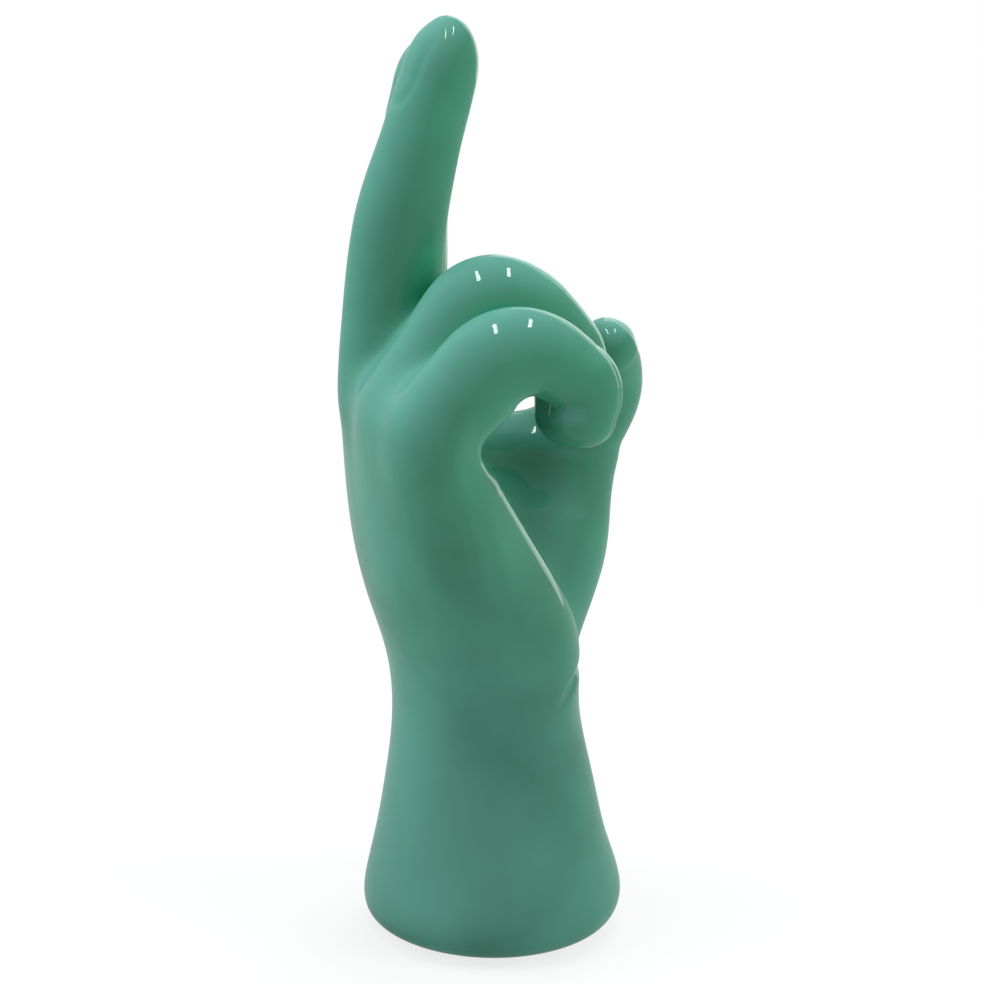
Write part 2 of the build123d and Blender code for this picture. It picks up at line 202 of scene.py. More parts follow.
class Limb:
    """A tapering limb round straight runs joined by tangent arcs.
    Its profile has rows of (joint number, half width, half depth at the back, half depth at the front),
    where 0 is the start, 1 the middle of the first bend and so on, and the last number is the end.
    Its nail is (distance along where it starts, half width)."""

    def __init__(self, start, aims, side, runs, bends, profile, tip, reach, nail=None):
        self.side, self.tip, self.reach, self.nail = vec(*side), tip, reach, nail
        self.stretches = []
        self.marks = [0.0]
        place, before = vec(*start), 0.0
        for i, run in enumerate(runs):
            self.stretches.append((before, run, place, aims[i], None, None))
            place = place + aims[i] * run
            before += run
            if i < len(bends):
                radius = bends[i]
                turn = math.acos(np.clip(aims[i] @ aims[i + 1], -1, 1))
                inward = unit(aims[i + 1] - aims[i] * math.cos(turn))
                self.stretches.append((before, radius * turn, place, aims[i], inward, radius))
                self.marks.append(before + radius * turn / 2)
                place = place + inward * radius * (1 - math.cos(turn)) + aims[i] * radius * math.sin(turn)
                before += radius * turn
        self.length = before
        self.marks.append(before)
        self.luting = sum(stretch[1] for stretch in self.stretches[:2]) + LUTING_PAST_BEND
        self.profile = spline([(self.distance(row[0]), *row[1:]) for row in profile])
        dots = np.array([self.point(d) for d in np.linspace(0, self.length, 40)])
        margin = LIMB_MARGIN + LIMB_MARGIN_SHARE * reach[0]
        self.low, self.high = dots.min(0) - margin, dots.max(0) + margin

    def distance(self, joint):
        return np.interp(joint, range(len(self.marks)), self.marks)

    def point(self, distance):
        for before, length, place, ahead, inward, radius in self.stretches:
            if distance <= before + length + 1e-6:
                break
        t = distance - before
        if inward is None:
            return place + ahead * t
        return place + inward * radius * (1 - math.cos(t / radius)) + ahead * radius * math.sin(t / radius)

    def locate(self, places):
        """Distance along the line, then the offset from it across, to the front and past an end."""
        best = np.full(len(places), np.inf)
        along = np.zeros(len(places))
        foot = np.zeros_like(places)
        heading = np.zeros_like(places)
        for before, length, place, ahead, inward, radius in self.stretches:
            if inward is None:
                t = np.clip((places - place) @ ahead, 0, length)
                spot = place + t[:, None] * ahead
                facing = np.broadcast_to(ahead, places.shape)
            else:
                turn = length / radius
                out = places - (place + inward * radius)
                angle = np.arctan2(out @ ahead, -(out @ inward))
                angle = np.where(angle < turn / 2 - math.pi, angle + 2 * math.pi, angle)
                angle = np.clip(angle, 0, turn)
                c, s = np.cos(angle)[:, None], np.sin(angle)[:, None]
                spot = place + inward * radius + radius * (ahead * s - inward * c)
                facing = ahead * c + inward * s
                t = angle * radius
            gap = np.sum((places - spot) ** 2, axis=1)
            closer = gap < best
            best[closer] = gap[closer]
            along[closer] = before + t[closer]
            foot[closer] = spot[closer]
            heading[closer] = facing[closer]
        offset = places - foot
        side = unit(self.side - heading * (heading @ self.side)[:, None])
        front = np.cross(side, heading)
        past = np.sum(offset * heading, axis=1)
        return along, np.sum(offset * side, axis=1), np.sum(offset * front, axis=1), past

    def field(self, places):
        """Signed distance, the blend reach there and the distance along."""
        d = np.full(len(places), FAR)
        reach = np.full(len(places), float(self.reach[0]))
        far_along = np.zeros(len(places))
        near = np.all((places > self.low) & (places < self.high), axis=1)
        if not near.any():
            return d, reach, far_along
        along, across, front, past = self.locate(places[near])
        width, back, fore = self.profile(along)
        depth = np.where(front > 0, fore, back)
        end = np.where(past > 0, self.tip, ROOT_CAP)
        d[near] = oval_field((across, width), (front, depth), (past, end))
        if self.nail:
            d[near] += self.nail_relief(along + past, across, front)
        wide, palmar, tight, start, stop = self.reach
        root = palmar + (wide - palmar) * fade(front, *ROOT_FILLET_FADE)
        reach[near] = tight + (root - tight) * fade(along, self.distance(start), self.distance(stop))
        far_along[near] = along
        return d, reach, far_along

    def nail_relief(self, along, across, front):
        """How far the skin sinks in the groove round the nail, on the back of the tip."""
        start, half_width = self.nail
        stop = self.length + NAIL_TIP_SHARE * self.tip
        middle, half_length = (start + stop) / 2, (stop - start) / 2
        lengthwise = np.abs((along - middle) / half_length) ** NAIL_SQUARENESS
        sideways = np.abs(across / half_width) ** NAIL_SQUARENESS
        ring = (lengthwise + sideways) ** (1 / NAIL_SQUARENESS)
        groove = np.exp(-((ring - 1) / NAIL_GROOVE_SHARE) ** 2)
        return NAIL_DEPTH * groove * fade(front, *NAIL_SIDE_FADE)


def finger(start, pitches, splay, runs, bends, profile, tip, reach, nail=None):
    """A finger that flexes in a plane splayed about X."""
    aims = [aim(pitches[0])] + [splay_sideways(aim(pitch), splay) for pitch in pitches[1:]]
    return Limb(start, aims, splay_sideways(vec(0, 1, 0), splay), runs, bends, profile, tip, reach, nail)


def bone(points, bends, profile, tip, reach, nail=None):
    """A limb through points, with the corners rounded by the given bends."""
    points = [vec(*p) for p in points]
    runs, aims = [], []
    for a, b in zip(points, points[1:]):
        runs.append(np.linalg.norm(b - a))
        aims.append((b - a) / runs[-1])
    for i, radius in enumerate(bends):
        cut = radius * math.tan(math.acos(np.clip(aims[i] @ aims[i + 1], -1, 1)) / 2)
        runs[i] -= cut
        runs[i + 1] -= cut
    return Limb(points[0], aims, (0, 1, 0), runs, bends, profile, tip, reach, nail)


# Digits, in millimetres and degrees. A raised finger has a start, pitches, splay, runs and bend radii,
# a curled one the corners of its line and their bend radii, and the thumb a start, aims, its side, runs
# and bend radii. Then come the profile, the tip's length, the reach and the nail.
# The reach is (fillet at the root's back, fillet at its palm side, fillet further out, joint number
# where that starts to take over, and where it has).
RAISED_REACH = (10, 6, 2.2, 0.9, 1.72)
MIDDLE = finger(
    (-19.4, 6.3, 118.7), (-15, 4.5, 13), -6, (22.7, 30.8, 25.2), (60, 120),
    [(0, 8, 6, 8), (0.55, 10, 9, 11), (0.95, 11, 12.4, 12.5), (1.33, 11, 13.6, 12.3),
     (1.65, 10.8, 13.7, 11.9), (1.95, 10.6, 12.8, 11.4), (2.25, 10.5, 11.5, 11.0), (2.55, 10.2, 10.5, 10.5),
     (2.85, 10.1, 9.8, 10.5), (3, 10.0, 9.3, 10.4)],
    tip=16.0, reach=RAISED_REACH, nail=(109, 6.4))
INDEX = finger(
    (-11.3, 28.3, 117.2), (-13, 4.8, 12.8), 9.7, (22.8, 30.5, 20.6), (60, 120),
    [(0, 8, 6, 8), (0.55, 9.6, 8.6, 10.6), (0.95, 10.4, 12.2, 12.0), (1.33, 10.4, 12.8, 11.8),
     (1.65, 10.3, 12.4, 11.4), (1.95, 10.1, 11.8, 10.9), (2.25, 10, 11.0, 10.4), (2.55, 9.8, 10.4, 9.7),
     (2.85, 9.6, 9.8, 9.9), (3, 9.5, 9.6, 10.0)],
    tip=15.2, reach=RAISED_REACH, nail=(101, 6.0))
RING_Y = -15.5
RING = bone(
    [(-16.5, RING_Y, 116), (-28.3, RING_Y, 151.3), (-1.8, RING_Y, 183.2), (17.4, RING_Y, 162.3),
     (16.2, RING_Y, 147)],
    [22, 12, 9],
    [(0, 8, 5, 8), (0.5, 9.8, 7.4, 11.4), (0.8, 10.2, 9.8, 12.0), (1.1, 10.2, 11.6, 11.6),
     (1.6, 10.3, 13.8, 11.6), (1.93, 10.0, 13.4, 11.2), (2.2, 9.9, 11.0, 10.8), (2.6, 9.7, 10.2, 10.2),
     (3, 9.4, 9.4, 9.6), (3.5, 9.2, 9.2, 9.6), (4, 8.8, 8.6, 9.0)],
    tip=8.5, reach=(15, 5, 4.5, 0.9, 1.8), nail=(104, 5.8))
LITTLE_Y = -36.2
LITTLE = bone(
    [(-15.0, -30.0, 108), (-28.0, LITTLE_Y, 150.1), (-3.8, LITTLE_Y, 172.0), (15.6, LITTLE_Y, 158.4),
     (13.8, LITTLE_Y, 150.5)],
    [20, 16, 7],
    [(0, 5, 5, 8), (0.5, 8.0, 6.8, 10.8), (0.8, 8.8, 8.8, 12.0), (1.0, 9.1, 10.0, 12.6),
     (1.3, 9.4, 11.2, 13.4), (1.7, 9.5, 12.5, 12.8), (2.05, 9.4, 12.3, 11.4), (2.4, 9.15, 11.0, 10.0),
     (2.7, 9.0, 10.2, 9.4), (2.95, 8.9, 9.8, 9.3), (3.78, 8.5, 8.6, 8.8)],
    tip=8.0, reach=(15, 4, 6.5, 0.9, 2.1), nail=(89, 5.2))
THUMB = Limb(
    (15.5, 18.0, 78.5), [aim(17.2, 31.3), aim(21.5, -44), aim(49.8, -98)], (0.7, -0.7, 0),
    (33.2, 7.5, 7.0), (60, 25),
    [(0, 13.6, 13.6, 13.6), (0.53, 15.8, 15.3, 15.3), (1.09, 11.8, 11.8, 11.6), (1.7, 13.1, 13.2, 11.8),
     (2.05, 12.4, 12.5, 11.5), (2.35, 11.2, 10.9, 10.7), (2.65, 9.9, 9.2, 9.7), (3, 8.3, 7.6, 8.3)],
    tip=9.0, reach=(19, 19, 1.2, 1.2, 1.8), nail=(82, 6.8))
DIGITS = {
    "index_finger": INDEX,
    "middle_finger": MIDDLE,
    "ring_finger": RING,
    "little_finger": LITTLE,
    "thumb": THUMB,
}

# Fleshy parts of the palm: points of the line, its bends, rows of (joint number, half width, half depth)
# and the fillet all round
PAD_TIP = 8.0


def pad(points, bends, rows, fillet):
    profile = [(joint, width, depth, depth) for joint, width, depth in rows]
    return bone(points, bends, profile, PAD_TIP, (fillet, fillet, fillet, 0, 1))


LITTLE_PAD = pad(
    [(6, -13, 56), (2, -21, 92), (-15, -29, 130)], [80],
    [(0, 6, 6), (0.6, 12, 12), (1.3, 12.5, 12), (2, 8.5, 8)], 14)
THUMB_WEB = pad(
    [(-14, 24, 134), (2, 25, 130), (14, 25, 130), (27, 25, 124)], [20, 20],
    [(0, 8, 8), (1, 8, 8), (2, 8, 8), (3, 9, 9)], 12)
PALM_FILL = pad(
    [(-12, 20, 112), (6, 22, 112), (24, 24, 106)], [20],
    [(0, 11, 11), (1, 11, 11), (2, 12, 12)], 20)
PADS = (LITTLE_PAD, THUMB_WEB, PALM_FILL)

body_shape = spline(BODY)


def body_field(places):
    x, y, z = places.T
    shift_x, shift_y, back, front, width, power = body_shape(z)
    depth = np.where(x > shift_x, front, back)
    palmar = 1 - fade(x - shift_x, -BACK_BLEND, BACK_BLEND)
    power = 2 + (BACK_SQUARENESS + (1 - BACK_SQUARENESS) * palmar) * (power - 2)
    above = np.maximum(z - BODY_TOP, 0)
    side = oval_field((x - shift_x, depth), (y - shift_y, width), (above, BODY_DOME), power=power)
    return carve(side, z - FOOT_BOTTOM, FOOT_ROUND)


# Crease of the wrist under the heel of the palm: its height at the front, how it drops to the sides,
# its half width and depth, and where it fades out towards the back and the thumb
CREASE_HEIGHT = 79.0
CREASE_FRONT = 20.0
CREASE_DROP = 0.9
CREASE_HALF_WIDTH = 2.2
CREASE_DEPTH = 1.5
CREASE_BACK_FADE = (9.0, 18.0)
CREASE_THUMB_FADE = (-1.0, 8.0)


def wrist_crease(places):
    """How far the skin sinks in the crease between palm and wrist."""
    x, y, z = places.T
    off = (z - CREASE_HEIGHT + CREASE_DROP * np.maximum(CREASE_FRONT - x, 0)) / CREASE_HALF_WIDTH
    ends = (1 - fade(x, *CREASE_BACK_FADE)) * fade(y, *CREASE_THUMB_FADE)
    return CREASE_DEPTH * np.exp(-off * off) * ends


def skin_parts(places):
    """The skin's field, the palm's own field, and each digit's field with the distance along it."""
    palm = body_field(places)
    for flesh in PADS:
        d, reach, _ = flesh.field(places)
        palm = join(palm, d, reach)
    total = palm
    own = {}
    for name, digit in DIGITS.items():
        d, reach, along = digit.field(places)
        own[name] = d, along
        total = join(total, d, reach)
    return total + wrist_crease(places), palm, own


def skin_field(places):
    return skin_parts(places)[0]


# The field is first tried on a coarse grid, with so many fine cells to a step, and then on the fine one
# within a band of coarse steps about the surface. The grid goes past the part's box by a margin.
COARSE_CELLS = 4
COARSE_BAND = 1.6
NET_MARGIN = 4.0


def grid_net(field, low, high, cell):
    """A quad mesh of the field's zero surface, one vertex in each cell that the surface crosses."""
    step = cell * COARSE_CELLS
    count = [int(math.ceil((high[i] - low[i]) / step)) for i in range(3)]
    axes = [low[i] + step * (np.arange(count[i]) + 0.5) for i in range(3)]
    centres = np.stack(np.meshgrid(*axes, indexing="ij"), -1).reshape(-1, 3)
    rough = field(centres)
    values = rough.reshape(count)
    for axis in range(3):
        values = np.repeat(values, COARSE_CELLS, axis)
    block = np.stack(np.meshgrid(*[np.arange(COARSE_CELLS)] * 3, indexing="ij"), -1).reshape(-1, 3)
    close = np.flatnonzero(np.abs(rough) < step * COARSE_BAND)
    base = np.stack(np.unravel_index(close, count), -1) * COARSE_CELLS
    index = (base[:, None] + block[None]).reshape(-1, 3)
    values[tuple(index.T)] = field(np.array(low) + cell * (index + 0.5))
    inside = values < 0
    corners = [(i, j, k) for i in (0, 1) for j in (0, 1) for k in (0, 1)]
    cut = [slice(0, -1), slice(1, None)]
    total = sum(inside[cut[i], cut[j], cut[k]].astype(np.int8) for i, j, k in corners)

    # A vertex in each mixed cell, at the mean of the places where the surface crosses the cell's edges
    active = np.argwhere((total > 0) & (total < 8))
    number = np.full(np.array(values.shape) - 1, -1)
    number[tuple(active.T)] = np.arange(len(active))
    sums = np.zeros((len(active), 3))
    hits = np.zeros(len(active))
    for a in corners:
        for axis in range(3):
            if a[axis]:
                continue
            b = list(a)
            b[axis] = 1
            va = values[tuple((active + a).T)]
            vb = values[tuple((active + b).T)]
            crosses = (va < 0) != (vb < 0)
            share = np.where(crosses, va / np.where(crosses, va - vb, 1), 0)
            spot = active + a + share[:, None] * np.eye(3)[axis]
            sums[crosses] += spot[crosses]
            hits += crosses
    verts = np.array(low) + cell * (sums / hits[:, None] + 0.5)

    # A quad round each grid edge that the surface crosses
    faces = []
    for axis in range(3):
        u, v = [(1, 2), (2, 0), (0, 1)][axis]
        lower = [slice(1, -1)] * 3
        lower[axis] = slice(0, -1)
        upper = list(lower)
        upper[axis] = slice(1, None)
        change = inside[tuple(lower)] != inside[tuple(upper)]
        spots = np.argwhere(change) + np.array([0 if i == axis else 1 for i in range(3)])
        flip = inside[tuple(spots.T)]
        ring = []
        for du, dv in ((-1, -1), (0, -1), (0, 0), (-1, 0)):
            cell_at = spots.copy()
            cell_at[:, u] += du
            cell_at[:, v] += dv
            ring.append(number[tuple(cell_at.T)])
        quad = np.stack(ring, 1)
        quad[~flip] = quad[~flip][:, ::-1]
        faces.append(quad)
    return verts, np.concatenate(faces)


def slope(field, places, step=0.25):
    """The field's gradient, from values a step to either side."""
    out = np.zeros_like(places)
    for axis in range(3):
        move = np.zeros(3)
        move[axis] = step
        out[:, axis] = (field(places + move) - field(places - move)) / (2 * step)
    return out


def settle(field, places, rounds=2):
    """Moves points onto the field's zero surface."""
    for _ in range(rounds):
        g = slope(field, places)
        places = places - field(places)[:, None] * g / np.maximum(np.sum(g * g, 1), 0.05)[:, None]
    return places


def relax(verts, faces, share=0.5):
    """Moves each vertex part of the way to the mean of its neighbours."""
    total = np.zeros_like(verts)
    count = np.zeros(len(verts))
    for i in range(4):
        a, b = faces[:, i], faces[:, (i + 1) % 4]
        for p, q in ((a, b), (b, a)):
            np.add.at(total, p, verts[q])
            np.add.at(count, p, 1)
    return verts + share * (total / count[:, None] - verts)


class Skin:
    """The meshed skin, with what is needed to cut it into pieces."""

    def __init__(self):
        low, high = [np.array(corner) / MM for corner in cad_box]
        verts, faces = grid_net(skin_field, low - NET_MARGIN, high + NET_MARGIN, CELL)
        verts = settle(skin_field, verts)
        for _ in range(2):
            verts = settle(skin_field, relax(verts, faces), 1)
        self.verts, self.faces = verts, faces
        self.normals = unit(slope(skin_field, verts))
        # Hollowness, from skin above each place and from the palm's hollow, carries painted shade in the palm
        # and painted bounce light between the fingers
        from_hollow = np.linalg.norm(verts - PALM_HOLLOW, axis=1) / PALM_HOLLOW_RADIUS
        self.pool = self.shelter(SHELTER_REACH) + np.exp(-from_hollow ** 2)
        # Painted light: how far each surface faces the light from above at the left
        self.light_facing = self.normals @ PAINTED_LIGHT_AIM
        self.find_owners()

    def shelter(self, distance):
        """0 where the skin is open, and up to 1 and more where other skin is within the distance above it."""
        return 1 - skin_field(self.verts + distance * self.normals) / distance

    def find_owners(self):
        """Labels each vertex: 0 the body, 1 to 5 a digit, -1 the foot's open mouth."""
        _, palm, own = skin_parts(self.verts)
        fields = np.stack([palm] + [d for d, _ in own.values()])
        self.depths = np.zeros_like(fields)
        self.labels = np.zeros(len(self.verts), int)
        for i, name in enumerate(own, start=1):
            rest = np.delete(fields, i, axis=0).min(axis=0)
            along = own[name][1]
            self.depths[i] = np.minimum(along - DIGITS[name].luting, rest - fields[i])
            self.labels[self.depths[i] > 0] = i
        x, y, z = self.verts.T
        self.mouth = 1 - np.hypot(x / MOUTH_HALF_X, y / MOUTH_HALF_Y)
        self.mouth[z > FOOT_BOTTOM + MOUTH_RISE] = -1
        self.labels[self.mouth > 0] = -1

    def share(self, a, b):
        """How far along the edge from a to b the border between their owners lies."""
        la, lb = self.labels[a], self.labels[b]
        if la > 0 and lb > 0:
            da = self.depths[la][a]
            db = self.depths[lb][b]
            return da / (da + db)
        if la < 0 or lb < 0:
            scale = self.mouth
        else:
            scale = self.depths[max(la, lb)]
        return scale[a] / (scale[a] - scale[b])


def cut_into_pieces(skin):
    """For each owner its polygons, over the skin's vertices and new ones on the borders.
    A new vertex is written as (first, second, share) between two old ones."""
    labels = skin.labels[skin.faces]
    mixed = np.any(labels != labels[:, :1], axis=1)
    polygons = {owner: skin.faces[~mixed & (labels[:, 0] == owner)].tolist() for owner in range(6)}
    added = []
    edge_vertex = {}

    def border(a, b):
        key = (min(a, b), max(a, b))
        if key not in edge_vertex:
            edge_vertex[key] = len(skin.verts) + len(added)
            share = np.clip(skin.share(*key), CUT_MARGIN, 1 - CUT_MARGIN)
            added.append((*key, float(share)))
        return edge_vertex[key]

    for face in skin.faces[mixed].tolist():
        ring = []
        for i, a in enumerate(face):
            b = face[(i + 1) % 4]
            ring.append((a, skin.labels[a]))
            if skin.labels[a] != skin.labels[b]:
                ring.append((border(a, b), None))
        cuts = [i for i, (_, owner) in enumerate(ring) if owner is None]
        middle = None
        if len(cuts) > 2:
            middle = len(skin.verts) + len(added)
            added.append((face[0], face[2], 0.5))
        for start, stop in zip(cuts, cuts[1:] + [cuts[0] + len(ring)]):
            run = [ring[i % len(ring)] for i in range(start, stop + 1)]
            polygon = [vertex for vertex, _ in run]
            if middle is not None:
                polygon.append(middle)
            if run[1][1] >= 0:
                polygons[run[1][1]].append(polygon)
    return polygons, added


def blend_rows(values, added):
    """Values for the old vertices and, between pairs of them, the new ones."""
    a = np.array([row[0] for row in added])
    b = np.array([row[1] for row in added])
    share = np.array([row[2] for row in added])
    if values.ndim > 1:
        share = share[:, None]
    return np.concatenate([values, values[a] * (1 - share) + values[b] * share])


def add_object(name, data):
    item = bpy.data.objects.new(name, data)
    bpy.context.scene.collection.objects.link(item)
    return item


def hollow_piece(name, polygons, verts, normals, tints):
    """A closed shell: the skin's polygons, the same polygons a wall further in, and rims along the cuts."""
    used = np.unique(np.concatenate([np.array(p) for p in polygons]))
    place = {old: new for new, old in enumerate(used.tolist())}
    count = len(used)
    outer = [[place[v] for v in polygon] for polygon in polygons]
    sides = {(p[i], p[(i + 1) % len(p)]) for p in outer for i in range(len(p))}
    rims = [(b, a, a + count, b + count) for a, b in sides if (b, a) not in sides]
    inner = [[v + count for v in reversed(p)] for p in outer]
    skin_verts, skin_normals = verts[used], normals[used]
    coords = np.concatenate([skin_verts, skin_verts - WALL * skin_normals]) * MM
    mesh = bpy.data.meshes.new(name)
    mesh.from_pydata(coords.tolist(), [], outer + inner + sorted(rims))
    mesh.polygons.foreach_set("use_smooth", [True] * len(mesh.polygons))
    for tint, values in tints.items():
        attribute = mesh.attributes.new(tint, "FLOAT", "POINT")
        attribute.data.foreach_set("value", np.tile(values[used], 2).astype(np.float32))
    mesh.normals_split_custom_set_from_vertices(np.concatenate([skin_normals, -skin_normals]).tolist())
    return add_object(name, mesh)


def dress(piece, node, material):
    """Gives a piece its material and sets it in the place of a solid."""
    piece.data.materials.append(material)
    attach(piece, "root")
    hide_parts(node)


def new_material(name):
    material = bpy.data.materials.new(name)
    material.use_nodes = True
    tree = material.node_tree
    return material, tree, tree.nodes["Principled BSDF"]


def add_node(tree, kind, inputs=None, **settings):
    """A node with its settings and its inputs, which are values or sockets to link."""
    node = tree.nodes.new(kind)
    for key, value in settings.items():
        setattr(node, key, value)
    for key, value in (inputs or {}).items():
        if isinstance(value, bpy.types.NodeSocket):
            tree.links.new(value, node.inputs[key])
        else:
            node.inputs[key].default_value = value
    return node


def ramp(tree, factor, stops):
    node = add_node(tree, "ShaderNodeValToRGB", {"Fac": factor})
    elements = node.color_ramp.elements
    while len(elements) < len(stops):
        elements.new(0.5)
    for element, (position, colour) in zip(elements, stops):
        element.position = position
        element.color = (*colour, 1.0)
    return node.outputs["Color"]


def mix(tree, factor, a, b, kind="MIX"):
    node = tree.nodes.new("ShaderNodeMix")
    node.data_type = "RGBA"
    node.blend_type = kind
    for socket, value in ((node.inputs[0], factor), (node.inputs[6], a), (node.inputs[7], b)):
        if isinstance(value, bpy.types.NodeSocket):
            tree.links.new(value, socket)
        else:
            socket.default_value = value
    return node.outputs[2]


def span(tree, value, low, high, to_low=0.0, to_high=1.0, curve="LINEAR"):
    """The value mapped from one range to another, and held at its ends."""
    ends = {"From Min": low, "From Max": high, "To Min": to_low, "To Max": to_high}
    node = add_node(tree, "ShaderNodeMapRange", {"Value": value, **ends}, interpolation_type=curve)
    return node.outputs["Result"]


def times(tree, a, b):
    return add_node(tree, "ShaderNodeMath", {0: a, 1: b}, operation="MULTIPLY").outputs[0]


def roughen(tree, shader, height, strength, distance):
    """Relief of the given depth in metres on the shader's surface."""
    bump = add_node(tree, "ShaderNodeBump", {"Height": height, "Strength": strength, "Distance": distance})
    tree.links.new(bump.outputs["Normal"], shader.inputs["Normal"])


# Colours of the glaze, linear: over the fingers, over the foot, deeper glaze with painted shade in the palm's
# hollow, painted bounce light between the fingers, and painted light where a surface faces up and to the left
GLAZE_FINGERS = (0.045, 0.226, 0.137)
GLAZE_FOOT = (0.054, 0.208, 0.146)
GLAZE_PALM_POOL_AND_SHADE = (0.011, 0.118, 0.068)
# Painted bounce light: a brighter, more saturated green in the sheltered places between the fingers
GLAZE_FINGER_BOUNCE_LIGHT = (0.050, 0.345, 0.205)
GLAZE_PAINTED_LIGHT = (0.128, 0.385, 0.306)

# Clouds in the glaze: their scale, and the noise values and tints at which they are darkest and lightest
CLOUD_SCALE = 26.0
CLOUD_STOPS = [(0.36, (0.84, 0.84, 0.83)), (0.64, (1.14, 1.12, 1.14))]

# Heights in metres between which the foot's colour gives way to the fingers', the painted light comes to its
# full share from what it has at the foot, and the palm's painted shade gives way to the fingers' painted
# bounce light
FOOT_TO_FINGERS = (0.06, 0.16)
PAINTED_LIGHT_HEIGHTS = (0.02, 0.10)
PAINTED_LIGHT_AT_FOOT = 0.7
PALM_TO_FINGERS = (0.140, 0.155)

# Ranges of the skin's hollowness and light facing values over which the hollows' painted shade and bounce
# light, and the painted light, come in
HOLLOWNESS_RANGE = (0.3, 1.3)
LIGHT_FACING_RANGE = (0.2, 1.0)


def glaze_material():
    """Semi-opaque celadon glaze, with painted light where it faces up and to the left, painted bounce light
    between the fingers, and deeper glaze with painted shade in the palm's hollow.
    """
    material, tree, shader = new_material("glaze")
    place = add_node(tree, "ShaderNodeTexCoord").outputs["Object"]
    height = add_node(tree, "ShaderNodeSeparateXYZ", {"Vector": place}).outputs["Z"]
    cloud = add_node(tree, "ShaderNodeTexNoise", {
        "Vector": place, "Scale": CLOUD_SCALE, "Detail": 3.0, "Roughness": 0.5}).outputs["Fac"]
    pool = add_node(tree, "ShaderNodeAttribute", attribute_name="pool").outputs["Fac"]
    light_facing = add_node(tree, "ShaderNodeAttribute", attribute_name="light_facing").outputs["Fac"]
    risen = span(tree, height, *FOOT_TO_FINGERS)
    hollow_share = span(tree, pool, *HOLLOWNESS_RANGE)
    thinning_and_painted_light = span(tree, light_facing, *LIGHT_FACING_RANGE)
    painted_light_kept = span(tree, height, *PAINTED_LIGHT_HEIGHTS, PAINTED_LIGHT_AT_FOOT, 1.0)
    even = mix(tree, risen, (*GLAZE_FOOT, 1.0), (*GLAZE_FINGERS, 1.0))
    clouded = mix(tree, 1.0, even, ramp(tree, cloud, CLOUD_STOPS), "MULTIPLY")
    # Painted light: paler, bluer glaze where a surface faces up and to the left, with less of it low on the
    # foot
    pale = mix(tree, times(tree, thinning_and_painted_light, painted_light_kept), clouded, (*GLAZE_PAINTED_LIGHT, 1.0))
    # Painted shade and deeper glaze darken the palm's hollow; painted bounce light brightens the sheltered
    # glaze between the fingers
    above_palm = span(tree, height, *PALM_TO_FINGERS)
    hollow_colour = mix(tree, above_palm, (*GLAZE_PALM_POOL_AND_SHADE, 1.0), (*GLAZE_FINGER_BOUNCE_LIGHT, 1.0))
    colour = mix(tree, hollow_share, pale, hollow_colour)
    tree.links.new(colour, shader.inputs["Base Color"])
    shader.inputs["Roughness"].default_value = 0.5
    shader.inputs["Specular IOR Level"].default_value = 0.0
    shader.inputs["Coat Weight"].default_value = 0.34
    shader.inputs["Coat Roughness"].default_value = 0.04
    return material


def bisque_material():
    """Bare fired clay with a fine grain."""
    material, tree, shader = new_material("bisque")
    place = add_node(tree, "ShaderNodeTexCoord").outputs["Object"]
    grain = add_node(tree, "ShaderNodeTexNoise", {
        "Vector": place, "Scale": 900.0, "Detail": 3.0}).outputs["Fac"]
    colour = ramp(tree, grain, [(0.35, (0.62, 0.55, 0.46)), (0.7, (0.76, 0.70, 0.61))])
    tree.links.new(colour, shader.inputs["Base Color"])
    shader.inputs["Roughness"].default_value = 0.85
    roughen(tree, shader, grain, 0.3, 0.0003)
    return material


def felt_material():
    """Pressed wool felt, matted fibres of a dark green."""
    material, tree, shader = new_material("felt")
    place = add_node(tree, "ShaderNodeTexCoord").outputs["Object"]
    fibres = add_node(tree, "ShaderNodeTexNoise", {
        "Vector": place, "Scale": 1600.0, "Detail": 5.0, "Distortion": 1.5}).outputs["Fac"]
    colour = ramp(tree, fibres, [(0.3, (0.018, 0.034, 0.030)), (0.75, (0.060, 0.100, 0.088))])
    tree.links.new(colour, shader.inputs["Base Color"])
    shader.inputs["Roughness"].default_value = 0.95
    shader.inputs["Sheen Weight"].default_value = 0.3
    roughen(tree, shader, fibres, 0.6, 0.0004)
    return material


# Felt: vertices round it, rings from its middle to its edge, how fast it thins at the edge and by which share
# of its thickness at each face, and the size, number and inward fade of the small waves of the cut
FELT_AROUND = 160
FELT_RINGS = 14
FELT_EDGE_SLOPE = 26
FELT_EDGE_SHARE = 0.18
FELT_WAVE_SHARE = 0.004
FELT_WAVES = 23
FELT_WAVE_FADE = 8


def felt_layer(level, half_x, half_y, bottom, thickness):
    """Points of the lower (0) or upper (1) face, ring by ring from the middle to the edge."""
    points = []
    for i in range(1, FELT_RINGS + 1):
        share = i / FELT_RINGS
        swell = min(1.0, (1 - share) * FELT_EDGE_SLOPE)
        thinning_and_painted_light = FELT_EDGE_SHARE * (1 - swell)
        lift = thickness * (thinning_and_painted_light if level == 0 else 1 - thinning_and_painted_light)
        for j in range(FELT_AROUND):
            turn = 2 * math.pi * j / FELT_AROUND
            wave = 1 + math.sin(FELT_WAVES * turn + 2 * level)
            reach = share * (1 - FELT_WAVE_SHARE * wave * share ** FELT_WAVE_FADE)
            points.append((half_x * reach * math.cos(turn), half_y * reach * math.sin(turn), bottom + lift))
    return points


